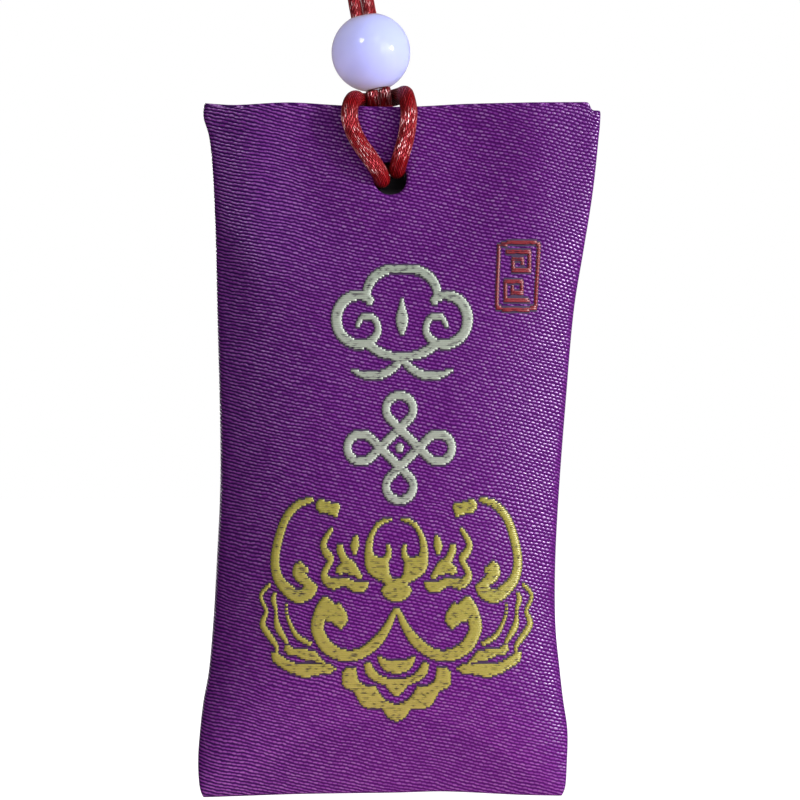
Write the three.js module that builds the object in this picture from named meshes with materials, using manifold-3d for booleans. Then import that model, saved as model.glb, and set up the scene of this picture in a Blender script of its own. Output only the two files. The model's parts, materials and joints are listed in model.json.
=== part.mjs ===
import * as THREE from 'three';
import { mergeVertices } from 'three/addons/utils/BufferGeometryUtils.js';
import Module from 'manifold-3d';

const wasm = await Module();
wasm.setup();

// Driving dimensions in millimetres
// The centre of the punched hole is the datum: x to the right, y to the back, z up.

// Pouch outline, seen from the front
const pouchLength = 90;
const holeDrop = 9.6; // mouth edge down to the hole's centre
const waistDrop = 56; // mouth edge down to the narrowest, thickest place
const mouthLeft = 24.4; // hole to the left edge, at the mouth
const mouthRight = 27.3;
const waistLeft = 22.2;
const waistRight = 21.4;
const baseLeft = 25.1;
const baseRight = 23.1;
const mouthFlareLeft = 3.3; // powers of the curves from waist to mouth and from waist to base
const mouthFlareRight = 1.4;
const baseFlare = 1.6;
const cornerRadius = 1.6; // bottom corners

// Pouch thickness, from the seam plane
const bellyFront = 5;
const bellyBack = 7;
const sectionPower = 3.2; // 2 is an ellipse, more is squarer
const bottomFullness = 2.2;
const bottomTaper = 0.8;

// The cord drags the middle of the mouth down
const mouthDip = 1.3;
const dipCentre = -1.6;
const dipHalfWidth = 16;
const dipReach = 6;

// Layers
const clothThickness = 0.45;
const interliningThickness = 0.3;
const layerGap = 0.3;
const interliningMouthInset = 0.4;
const interliningBaseInset = 6;

// Filling
const cardThickness = 1;
const cardWidth = 28;
const cardLength = 44;
const cardCorner = 3;
const cardDrop = 54.5; // mouth edge down to the card's middle
const waddingTopDrop = 29.6;
const waddingBaseInset = 10.4;
const waddingSideInset = 5;
const waddingRim = 0.3; // thickness at the pad's edge

// Seam thread
const threadDiameter = 0.4;
const threadTopDrop = 4;
const threadBaseInset = 2.2;
const threadBottomStops = [-0.95, -0.5, 0, 0.5, 0.95]; // shares of the way from the middle to each side

// Cord, hole and bead
const cordDiameter = 2;
const strandGap = 0.3; // between two runs side by side
const cordClearance = 0.35; // to the edge of the hole
const boreClearance = 0.25; // to the wall of the bead
const beadDiameter = 10.1;
const beadSeatGap = 0.3; // bead down to the joint of hitch and strands
const cordLean = THREE.MathUtils.degToRad(11); // strands and bead lean left as they rise
const hitchTop = new THREE.Vector3(-1.65, 1.6, 11.9); // where the strands leave the hitch
const hangPoint = new THREE.Vector3(-7.2, 1.6, 64); // a peg's middle, under the knot

// Knot above the peg
const knotRise = 7.6; // peg's middle up to the knot's base
const knotWraps = 3;
const knotDiameter = 7.6;
const knotFlatness = 0.82;

// Number of steps in round and long shapes
const sectionSteps = 18;
const interliningSkip = 3; // section steps left bare at each side
const panelRows = 22;
const interliningRows = 14;
const waddingRows = 9;
const cordSides = 8;
const punchSides = 24;
const cardCornerSteps = 5;
const threadHeights = 8;
const threadSteps = 56;
const hitchSteps = 70;
const strandSteps = 26;
const tailSteps = 6;
const beadArcSteps = 12;
const beadSides = 28;
const wrapSteps = 5;
const knotSides = 20;

// Worked-out places
const mouthZ = holeDrop;
const bottomZ = holeDrop - pouchLength;
const waistZ = holeDrop - waistDrop;
const seamHalfGap = layerGap / 2;
const interliningInset = clothThickness + layerGap;
const waddingInset = interliningInset + interliningThickness + layerGap;
const mouthDepth = interliningInset + interliningThickness + seamHalfGap;
const bottomDepth = clothThickness + seamHalfGap;
const pairWidth = 2 * cordDiameter + strandGap;
const holeDiameter = pairWidth + 2 * cordClearance;
const boreDiameter = pairWidth + 2 * boreClearance;
const cordAxis = new THREE.Vector3(-Math.sin(cordLean), 0, Math.cos(cordLean));

const satinColour = 0x6d1f82;
const finishes = {
  satin: new THREE.MeshStandardMaterial({ color: satinColour, roughness: 0.45, metalness: 0 }),
  interlining: new THREE.MeshStandardMaterial({ color: 0x1d1920, roughness: 0.9, metalness: 0 }),
  wadding: new THREE.MeshStandardMaterial({ color: 0xf2efe8, roughness: 1, metalness: 0 }),
  card: new THREE.MeshStandardMaterial({ color: 0xd9b64a, roughness: 0.7, metalness: 0 }),
  thread: new THREE.MeshStandardMaterial({ color: 0x5a1a6c, roughness: 0.6, metalness: 0 }),
  cord: new THREE.MeshStandardMaterial({ color: 0x8e1522, roughness: 0.4, metalness: 0 }),
  bead: new THREE.MeshStandardMaterial({ color: 0xd3d5f2, roughness: 0.12, metalness: 0 }),
};

const pendant = new THREE.Group();
pendant.position.copy(hangPoint).negate();

function addPiece(name, geometry, finish) {
  const piece = new THREE.Mesh(geometry, finish);
  piece.name = name;
  pendant.add(piece);
  return piece;
}

// Outline and thickness of the pouch

// Distance from the hole to one side edge at a height
function edgeAt(z, mouth, waist, base, mouthFlare) {
  if (z > waistZ) {
    const rise = (z - waistZ) / (mouthZ - waistZ);
    return waist + (mouth - waist) * rise ** mouthFlare;
  }
  const fall = (waistZ - z) / (waistZ - bottomZ);
  return waist + (base - waist) * fall ** baseFlare - cornerInset(z);
}

// How far a bottom corner's round draws the edge in
function cornerInset(z) {
  const below = bottomZ + cornerRadius - z;
  if (below <= 0) return 0;
  const height = Math.min(below, cornerRadius);
  return cornerRadius - Math.sqrt(cornerRadius ** 2 - height ** 2);
}

function leftEdge(z) {
  return edgeAt(z, mouthLeft, waistLeft, baseLeft, mouthFlareLeft);
}

function rightEdge(z) {
  return edgeAt(z, mouthRight, waistRight, baseRight, mouthFlareRight);
}

// Distance from the seam plane to the outside of the front or the back, at the middle
function depthAt(z, belly) {
  if (z > waistZ) {
    const drop = (mouthZ - z) / (mouthZ - waistZ);
    return mouthDepth + (belly - mouthDepth) * Math.sin((drop * Math.PI) / 2) ** 2;
  }
  const fall = Math.min((waistZ - z) / (waistZ - bottomZ), 1);
  return bottomDepth + (belly - bottomDepth) * (1 - fall ** bottomFullness) ** bottomTaper;
}

// How far the mouth's dip lowers a point
function dipAt(x, z) {
  const near = THREE.MathUtils.smoothstep(z, mouthZ - dipReach, mouthZ);
  const across = Math.min(Math.abs(x - dipCentre) / dipHalfWidth, 1);
  return mouthDip * near * Math.cos((across * Math.PI) / 2) ** 2;
}

// Rounded-square section: across is -1 to 1 from left to right, out is 0 to 1 from the seam
function sectionPoint(angle) {
  const cosine = Math.cos(angle);
  const power = 2 / sectionPower;
  return {
    across: Math.sign(cosine) * Math.abs(cosine) ** power,
    out: Math.abs(Math.sin(angle)) ** power,
  };
}

// Point on a layer that lies inset from the outside; side is -1 for the front and 1 for the back
function layerPoint(side, angle, z, inset) {
  const left = leftEdge(z) - inset;
  const right = rightEdge(z) - inset;
  const { across, out } = sectionPoint(angle);
  const x = (right - left) / 2 + ((right + left) / 2) * across;
  const depth = depthAt(z, side < 0 ? bellyFront : bellyBack) - inset;
  const y = side * (seamHalfGap + (depth - seamHalfGap) * out);
  return new THREE.Vector3(x, y, z - dipAt(x, z));
}

function sectionAngles(skip) {
  const angles = [];
  for (let step = skip; step <= sectionSteps - skip; step += 1) {
    angles.push((Math.PI * step) / sectionSteps);
  }
  return angles;
}

// Heights from top to bottom, closer together at both ends
function easedHeights(top, bottom, rows) {
  const heights = [];
  for (let row = 0; row <= rows; row += 1) {
    const share = (1 - Math.cos((Math.PI * row) / rows)) / 2;
    heights.push(top + (bottom - top) * share);
  }
  return heights;
}

// Closed sheet between an outer and an inner surface, each a function of angle and height
function closedSheet(side, outer, inner, angles, heights) {
  const columns = angles.length;
  const layerSize = columns * heights.length;
  const positions = [];
  for (const surface of [outer, inner]) {
    for (const z of heights) {
      for (const angle of angles) positions.push(...surface(angle, z).toArray());
    }
  }
  const index = [];
  const quad = (a, b, c, d) => {
    if (side < 0) index.push(a, b, c, a, c, d);
    else index.push(a, c, b, a, d, c);
  };
  const outerAt = (row, column) => row * columns + column;
  const innerAt = (row, column) => layerSize + outerAt(row, column);
  const lastRow = heights.length - 1;
  const lastColumn = columns - 1;
  for (let row = 0; row < lastRow; row += 1) {
    for (let column = 0; column < lastColumn; column += 1) {
      for (const [at, turned] of [[outerAt, false], [innerAt, true]]) {
        const corners = [at(row, column), at(row, column + 1), at(row + 1, column + 1), at(row + 1, column)];
        quad(...(turned ? corners.reverse() : corners));
      }
    }
    quad(outerAt(row, 0), outerAt(row + 1, 0), innerAt(row + 1, 0), innerAt(row, 0));
    quad(
      outerAt(row + 1, lastColumn), outerAt(row, lastColumn),
      innerAt(row, lastColumn), innerAt(row + 1, lastColumn),
    );
  }
  for (let column = 0; column < lastColumn; column += 1) {
    quad(outerAt(0, column + 1), outerAt(0, column), innerAt(0, column), innerAt(0, column + 1));
    quad(
      outerAt(lastRow, column), outerAt(lastRow, column + 1),
      innerAt(lastRow, column + 1), innerAt(lastRow, column),
    );
  }
  const geometry = new THREE.BufferGeometry();
  geometry.setAttribute('position', new THREE.Float32BufferAttribute(positions, 3));
  geometry.setIndex(index);
  return geometry;
}

// Cutting

function toSolid(geometry) {
  const bare = geometry.clone();
  bare.deleteAttribute('normal');
  bare.deleteAttribute('uv');
  const merged = mergeVertices(bare);
  return new wasm.Manifold(new wasm.Mesh({
    numProp: 3,
    vertProperties: new Float32Array(merged.attributes.position.array),
    triVerts: new Uint32Array(merged.index.array),
  }));
}

function toGeometry(solid) {
  const mesh = solid.getMesh();
  const geometry = new THREE.BufferGeometry();
  geometry.setAttribute('position', new THREE.Float32BufferAttribute(mesh.vertProperties, 3));
  geometry.setIndex(Array.from(mesh.triVerts));
  return geometry;
}

// The hole goes straight through every layer
function punched(geometry) {
  const radius = holeDiameter / 2;
  const punch = new THREE.CylinderGeometry(radius, radius, 2 * (bellyFront + bellyBack), punchSides);
  return toGeometry(toSolid(geometry).subtract(toSolid(punch)));
}

// Satin panels and their interlinings

function panel(side) {
  const sheet = closedSheet(
    side,
    (angle, z) => layerPoint(side, angle, z, 0),
    (angle, z) => layerPoint(side, angle, z, clothThickness),
    sectionAngles(0),
    easedHeights(mouthZ, bottomZ, panelRows),
  );
  return punched(sheet);
}

function interlining(side) {
  const sheet = closedSheet(
    side,
    (angle, z) => layerPoint(side, angle, z, interliningInset),
    (angle, z) => layerPoint(side, angle, z, interliningInset + interliningThickness),
    sectionAngles(interliningSkip),
    easedHeights(mouthZ - interliningMouthInset, bottomZ + interliningBaseInset, interliningRows),
  );
  return punched(sheet);
}

// Wadding: flat towards the card, crowned towards the cloth

function wadding(side) {
  const flat = cardThickness / 2 + layerGap;
  const rim = flat + waddingRim;
  const place = (angle, z, depthOf) => {
    const left = leftEdge(z) - waddingSideInset;
    const right = rightEdge(z) - waddingSideInset;
    const { across, out } = sectionPoint(angle);
    const x = (right - left) / 2 + ((right + left) / 2) * across;
    return new THREE.Vector3(x, side * depthOf(out), z);
  };
  const crown = (z) => depthAt(z, side < 0 ? bellyFront : bellyBack) - waddingInset;
  return closedSheet(
    side,
    (angle, z) => place(angle, z, (out) => rim + (crown(z) - rim) * out),
    (angle, z) => place(angle, z, () => flat),
    sectionAngles(0),
    easedHeights(mouthZ - waddingTopDrop, bottomZ + waddingBaseInset, waddingRows),
  );
}

// Stiff charm card with rounded corners, standing between the pads

function amuletCard() {
  const halfWidth = cardWidth / 2;
  const halfLength = cardLength / 2;
  const outline = new THREE.Shape();
  outline.absarc(halfWidth - cardCorner, halfLength - cardCorner, cardCorner, 0, Math.PI / 2);
  outline.absarc(cardCorner - halfWidth, halfLength - cardCorner, cardCorner, Math.PI / 2, Math.PI);
  outline.absarc(cardCorner - halfWidth, cardCorner - halfLength, cardCorner, Math.PI, 1.5 * Math.PI);
  outline.absarc(halfWidth - cardCorner, cardCorner - halfLength, cardCorner, 1.5 * Math.PI, 2 * Math.PI);
  const geometry = new THREE.ExtrudeGeometry(outline, {
    depth: cardThickness,
    bevelEnabled: false,
    curveSegments: cardCornerSteps,
  });
  geometry.translate(0, 0, -cardThickness / 2);
  geometry.rotateX(Math.PI / 2);
  geometry.translate((waistRight - waistLeft) / 2, 0, mouthZ - cardDrop);
  return geometry;
}

// Cords

function roundSection(diameter) {
  const corners = [];
  for (let corner = 0; corner < cordSides; corner += 1) {
    const turn = (2 * Math.PI * corner) / cordSides;
    corners.push(new THREE.Vector2(Math.cos(turn), Math.sin(turn)).multiplyScalar(diameter / 2));
  }
  return new THREE.Shape(corners);
}

function cord(points, diameter, steps) {
  const route = new THREE.CatmullRomCurve3(points.map((point) => new THREE.Vector3(...point)));
  return new THREE.ExtrudeGeometry(roundSection(diameter), {
    steps,
    bevelEnabled: false,
    extrudePath: route,
  });
}

// Sewing thread just inside the seam, down one side, along the bottom and up the other
function seamThread() {
  const inset = clothThickness + layerGap + threadDiameter / 2;
  const lowest = bottomZ + threadBaseInset;
  const sideHeights = easedHeights(mouthZ - threadTopDrop, lowest + cornerRadius, threadHeights);
  const down = sideHeights.map((z) => [inset - leftEdge(z), 0, z]);
  const up = sideHeights.map((z) => [rightEdge(z) - inset, 0, z]).reverse();
  const turn = lowest + cornerRadius;
  const along = threadBottomStops.map((share) => {
    const reach = share < 0 ? leftEdge(turn) : rightEdge(turn);
    return [share * (reach - inset), 0, lowest];
  });
  return cord([...down, ...along, ...up], threadDiameter, threadSteps);
}

// Lark's head: up the back, over to the bead, through the hole and round behind both strands
const hitchRoute = [
  [-2.74, 1.6, 11.48],
  [-2.65, 1.6, 11],
  [-2.55, 1.85, 10.3],
  [-2.45, 2.3, 9.4],
  [-2.25, 2.62, 7.8],
  [-1.95, 2.78, 5.5],
  [-1.65, 2.88, 3.3],
  [-1.35, 2.7, 1.4],
  [-1.2, 1.75, 0.1],
  [-1.2, 0, -0.25],
  [-1.2, -1.5, -0.1],
  [-1.5, -2.45, 0.7],
  [-2.3, -2.8, 2.1],
  [-3.5, -2.78, 3.7],
  [-4.6, -2.7, 5.4],
  [-5.2, -2.6, 7.1],
  [-5.35, -2.6, 8.6],
  [-5.3, -2.3, 9.9],
  [-5.2, -1.1, 10.75],
  [-5.15, 0.5, 10.75],
  [-5.1, 1.9, 10.7],
  [-4.8, 3.3, 10.6],
  [-3.9, 4.4, 10.5],
  [-2.7, 4.9, 10.4],
  [-1.65, 5, 10.4],
  [-0.6, 4.9, 10.45],
  [0.6, 4.4, 10.6],
  [1.5, 3.3, 10.7],
  [1.95, 1.9, 10.8],
  [2, 0.5, 10.85],
  [2.1, -1.1, 10.75],
  [2.25, -2.3, 9.9],
  [2.4, -2.6, 8.6],
  [2.3, -2.6, 7],
  [2, -2.7, 5.2],
  [1.55, -2.75, 3.5],
  [1.1, -2.4, 1.9],
  [0.9, -1.4, 1],
  [0.85, 0, 0.8],
  [0.8, 1.6, 1],
  [0.6, 2.6, 1.9],
  [0.4, 2.88, 3.5],
  [0.1, 2.78, 5.6],
  [-0.2, 2.62, 7.8],
  [-0.36, 2.3, 9.5],
  [-0.36, 1.85, 10.6],
  [-0.39, 1.6, 11.43],
  [-0.48, 1.6, 11.92],
];

// The two strands run straight through the bead and on for its travel, then part round a peg and meet
const leftStrandRoute = [
  [-2.82, 1.6, 11.88],
  [-3.44, 1.6, 15.06],
  [-4.06, 1.6, 18.28],
  [-4.69, 1.6, 21.5],
  [-5.46, 1.6, 25.43],
  [-6.22, 1.6, 29.36],
  [-6.98, 1.6, 33.28],
  [-7.9, 1.6, 38],
  [-8.95, 1.6, 43.5],
  [-9.85, 1.6, 49.5],
  [-10.55, 1.6, 55],
  [-11, 1.6, 60],
  [-11.05, 1.6, 64],
  [-10.5, 1.6, 67],
  [-9.3, 1.6, 69.2],
  [-8.35, 1.6, 71.3],
];

const rightStrandRoute = [
  [-0.56, 1.6, 12.32],
  [-1.18, 1.6, 15.5],
  [-1.8, 1.6, 18.72],
  [-2.43, 1.6, 21.94],
  [-3.2, 1.6, 25.87],
  [-3.96, 1.6, 29.8],
  [-4.72, 1.6, 33.72],
  [-5.25, 1.6, 37.5],
  [-5.4, 1.6, 42],
  [-5.1, 1.6, 47.5],
  [-4.5, 1.6, 53],
  [-3.8, 1.6, 58.5],
  [-3.35, 1.6, 64],
  [-3.9, 1.6, 67],
  [-5.1, 1.6, 69.2],
  [-6.05, 1.6, 71.3],
];

const leftTailRoute = [
  [-8.3, 1.6, 78.1],
  [-8.6, 1.5, 79.8],
  [-9.3, 1.3, 81.6],
  [-10.3, 1, 83.2],
];

const rightTailRoute = [
  [-6.1, 1.6, 78.1],
  [-5.9, 1.7, 79.9],
  [-5.4, 1.9, 81.7],
  [-4.6, 2.2, 83.3],
];

// Bead with its bore, made upright about its middle
function bead() {
  const radius = beadDiameter / 2;
  const boreRadius = boreDiameter / 2;
  const mouthAngle = Math.acos(boreRadius / radius);
  const profile = [];
  for (let step = 0; step <= beadArcSteps; step += 1) {
    const angle = mouthAngle * ((2 * step) / beadArcSteps - 1);
    profile.push(new THREE.Vector2(radius * Math.cos(angle), radius * Math.sin(angle)));
  }
  profile.push(profile[0].clone());
  const geometry = new THREE.LatheGeometry(profile, beadSides);
  geometry.rotateX(Math.PI / 2);
  return geometry;
}

// Barrel knot: wraps of cord lying side by side round the two strands
function barrelKnot() {
  const wrapRadius = cordDiameter / 2;
  const waist = knotDiameter / 2 - wrapRadius;
  const profile = [new THREE.Vector2(0, 0)];
  for (let wrap = 0; wrap < knotWraps; wrap += 1) {
    for (let step = 0; step < wrapSteps; step += 1) {
      const angle = Math.PI * ((step + 0.5) / wrapSteps - 0.5);
      profile.push(new THREE.Vector2(
        waist + wrapRadius * Math.cos(angle),
        wrapRadius * (2 * wrap + 1 + Math.sin(angle)),
      ));
    }
  }
  profile.push(new THREE.Vector2(0, 2 * wrapRadius * knotWraps));
  const geometry = new THREE.LatheGeometry(profile, knotSides);
  geometry.rotateX(Math.PI / 2);
  geometry.scale(1, knotFlatness, 1);
  return geometry;
}

addPiece('front_panel', panel(-1), finishes.satin);
addPiece('back_panel', panel(1), finishes.satin.clone());
addPiece('front_interlining', interlining(-1), finishes.interlining);
addPiece('back_interlining', interlining(1), finishes.interlining.clone());
addPiece('front_wadding', wadding(-1), finishes.wadding);
addPiece('back_wadding', wadding(1), finishes.wadding.clone());
addPiece('amulet_card', amuletCard(), finishes.card);
addPiece('seam_thread', seamThread(), finishes.thread);
addPiece('hitch_cord', cord(hitchRoute, cordDiameter, hitchSteps), finishes.cord);
addPiece('hang_strand_left', cord(leftStrandRoute, cordDiameter, strandSteps), finishes.cord.clone());
addPiece('hang_strand_right', cord(rightStrandRoute, cordDiameter, strandSteps), finishes.cord.clone());
addPiece('cord_tail_left', cord(leftTailRoute, cordDiameter, tailSteps), finishes.cord.clone());
addPiece('cord_tail_right', cord(rightTailRoute, cordDiameter, tailSteps), finishes.cord.clone());

const knot = addPiece('barrel_knot', barrelKnot(), finishes.cord.clone());
knot.position.set(hangPoint.x, hangPoint.y, hangPoint.z + knotRise);

const beadPiece = addPiece('bead', bead(), finishes.bead);
const beadHalfLength = Math.sqrt(beadDiameter ** 2 - boreDiameter ** 2) / 2;
beadPiece.position.copy(hitchTop).addScaledVector(cordAxis, beadSeatGap + beadHalfLength);
beadPiece.rotation.y = -cordLean;

export default pendant;
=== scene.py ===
import json
import math
import random

import bmesh
import bpy
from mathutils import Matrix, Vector, noise
from mathutils.bvhtree import BVHTree


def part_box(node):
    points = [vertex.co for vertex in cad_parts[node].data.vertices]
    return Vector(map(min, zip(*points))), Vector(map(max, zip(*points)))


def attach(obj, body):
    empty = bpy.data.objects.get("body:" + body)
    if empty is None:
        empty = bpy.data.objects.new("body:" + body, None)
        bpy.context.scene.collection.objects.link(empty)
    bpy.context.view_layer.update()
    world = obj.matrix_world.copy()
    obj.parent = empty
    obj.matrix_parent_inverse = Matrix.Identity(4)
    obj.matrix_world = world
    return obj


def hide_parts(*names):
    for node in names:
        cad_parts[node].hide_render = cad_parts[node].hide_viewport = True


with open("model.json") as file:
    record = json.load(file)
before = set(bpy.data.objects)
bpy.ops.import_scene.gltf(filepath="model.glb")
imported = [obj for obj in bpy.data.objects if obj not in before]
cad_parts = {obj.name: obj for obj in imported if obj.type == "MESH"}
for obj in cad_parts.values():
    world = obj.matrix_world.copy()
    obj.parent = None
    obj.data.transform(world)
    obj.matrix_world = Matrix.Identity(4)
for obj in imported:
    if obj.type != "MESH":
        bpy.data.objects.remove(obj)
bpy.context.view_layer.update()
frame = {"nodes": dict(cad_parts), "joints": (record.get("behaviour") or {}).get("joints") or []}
scene = bpy.context.scene
joints = {joint["name"]: joint for joint in frame["joints"]}
mm = 0.001
hole = Vector(joints["pouch_swing"]["pos_m"])  # middle of the punched hole, where every size below starts
threadMap = "threadMm"  # uv map along the threads, in millimetres
chance = random.Random(11)


def at(x, y, z):  # millimetres from the hole: right, back, up
    return hole + Vector((x, y, z)) * mm


def ease(value, low, high):
    t = min(max((value - low) / (high - low), 0), 1)
    return t * t * (3 - 2 * t)


def through(stations, key):  # smooth value between (key, value) stations
    if key <= stations[0][0]:
        return stations[0][1]
    if key >= stations[-1][0]:
        return stations[-1][1]
    i = max(n for n, station in enumerate(stations) if station[0] <= key)
    before, start, end = stations[max(i - 1, 0)], stations[i], stations[i + 1]
    after = stations[min(i + 2, len(stations) - 1)]
    span = end[0] - start[0]
    rise = end[1] - start[1]
    startSlope = (end[1] - before[1]) / (end[0] - before[0]) * span
    endSlope = (after[1] - start[1]) / (after[0] - start[0]) * span
    bend = 3 * rise - 2 * startSlope - endSlope
    t = (key - start[0]) / span
    return start[1] + t * (startSlope + t * (bend + t * (startSlope + endSlope - 2 * rise)))


def smoothLine(points, step):  # points close together on the curve through the given ones
    last = len(points) - 1
    line = []
    for i in range(last):
        four = [points[min(max(n, 0), last)] for n in range(i - 1, i + 3)]
        pieces = max(1, round(math.dist(four[1], four[2]) / step))
        for s in range(pieces):
            t = s / pieces
            line.append(tuple(
                b + 0.5 * t * (c - a + t * (2 * a - 5 * b + 4 * c - d + t * (3 * b - a - 3 * c + d)))
                for a, b, c, d in zip(*four)
            ))
    line.append(tuple(points[-1]))
    return line


def newObject(name, points, faces, material, uv=None):
    mesh = bpy.data.meshes.new(name)
    mesh.from_pydata(points, [], faces)
    mesh.update()
    mesh.shade_smooth()
    mesh.materials.append(material)
    if uv:
        uvLayer = mesh.uv_layers.new(name=threadMap)
        for loop in mesh.loops:
            uvLayer.data[loop.index].uv = uv[loop.index]
    obj = bpy.data.objects.new(name, mesh)
    scene.collection.objects.link(obj)
    return obj


# camera: straight from the front, placed by the photograph's scale
photo = {"side": 800, "holeRight": 390.5, "holeDown": 179, "dotsPerMm": 7.711, "distance": 0.5, "sensor": 36}


def makeCamera(setup):
    half = setup["side"] / 2
    scale = setup["dotsPerMm"]
    middle = at((half - setup["holeRight"]) / scale, 0, (setup["holeDown"] - half) / scale)
    data = bpy.data.cameras.new("camera")
    data.sensor_width = setup["sensor"]
    data.lens = setup["sensor"] * setup["distance"] / (setup["side"] / scale * mm)
    camera = bpy.data.objects.new("camera", data)
    camera.location = middle - Vector((0, setup["distance"], 0))
    camera.rotation_euler = (math.pi / 2, 0, 0)
    scene.collection.objects.link(camera)
    scene.camera = camera
    return middle


viewMiddle = makeCamera(photo)
print("camera at the photograph's view")


# materials
def linear(code):  # sRGB hex to linear colour
    parts = [int(code[i:i + 2], 16) / 255 for i in (1, 3, 5)]
    return (*[c / 12.92 if c <= 0.04045 else ((c + 0.055) / 1.055) ** 2.4 for c in parts], 1)


def addNode(tree, kind, inputs=None, **settings):  # a node given as an input is linked by its first output
    node = tree.nodes.new("ShaderNode" + kind)
    for key, value in settings.items():
        setattr(node, key, value)
    for key, value in (inputs or {}).items():
        if isinstance(value, bpy.types.Node):
            value = value.outputs[0]
        if isinstance(value, bpy.types.NodeSocket):
            tree.links.new(value, node.inputs[key])
        else:
            node.inputs[key].default_value = value
    return node


def newMaterial(name):
    material = bpy.data.materials.new(name)
    material.use_nodes = True
    material.node_tree.nodes.clear()
    return material, material.node_tree


def finishMaterial(tree, inputs):
    shader = addNode(tree, "BsdfPrincipled", inputs)
    addNode(tree, "OutputMaterial", {"Surface": shader})


# every woven or braided surface here is rows of floats, short lengths of thread that rise and dive again
floats = {
    "leftShadeAndLoose": (-22, 0), "looseFoot": (-86, -64),  # mm over which tight cloth turns loose; on the left the valleys' painted shade fades over the same span
    "drift": 2.4, "driftScale": 0.12,  # slow wander of the rows, in row widths, and how often per mm
    "shakeScale": 1.1,  # quick unevenness, about one float long
    "flatness": 0.7,  # below 1 a float is flat in the middle and dives at both ends
    "fibreScale": (1.5, 7, 1),  # filaments 0.15 mm apart, drawn coarser than the real 0.02 mm to show
    "streak": (1.2, 0.4),  # how filaments streak the colour
    "dull": (0.15, -0.07),  # how far floats differ in roughness
    "peak": (0.6, 1),  # floats with a value of their own above this catch the light almost white
    "valleyRoughness": 0.8, "sheenRoughness": 0.3,
}


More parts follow.
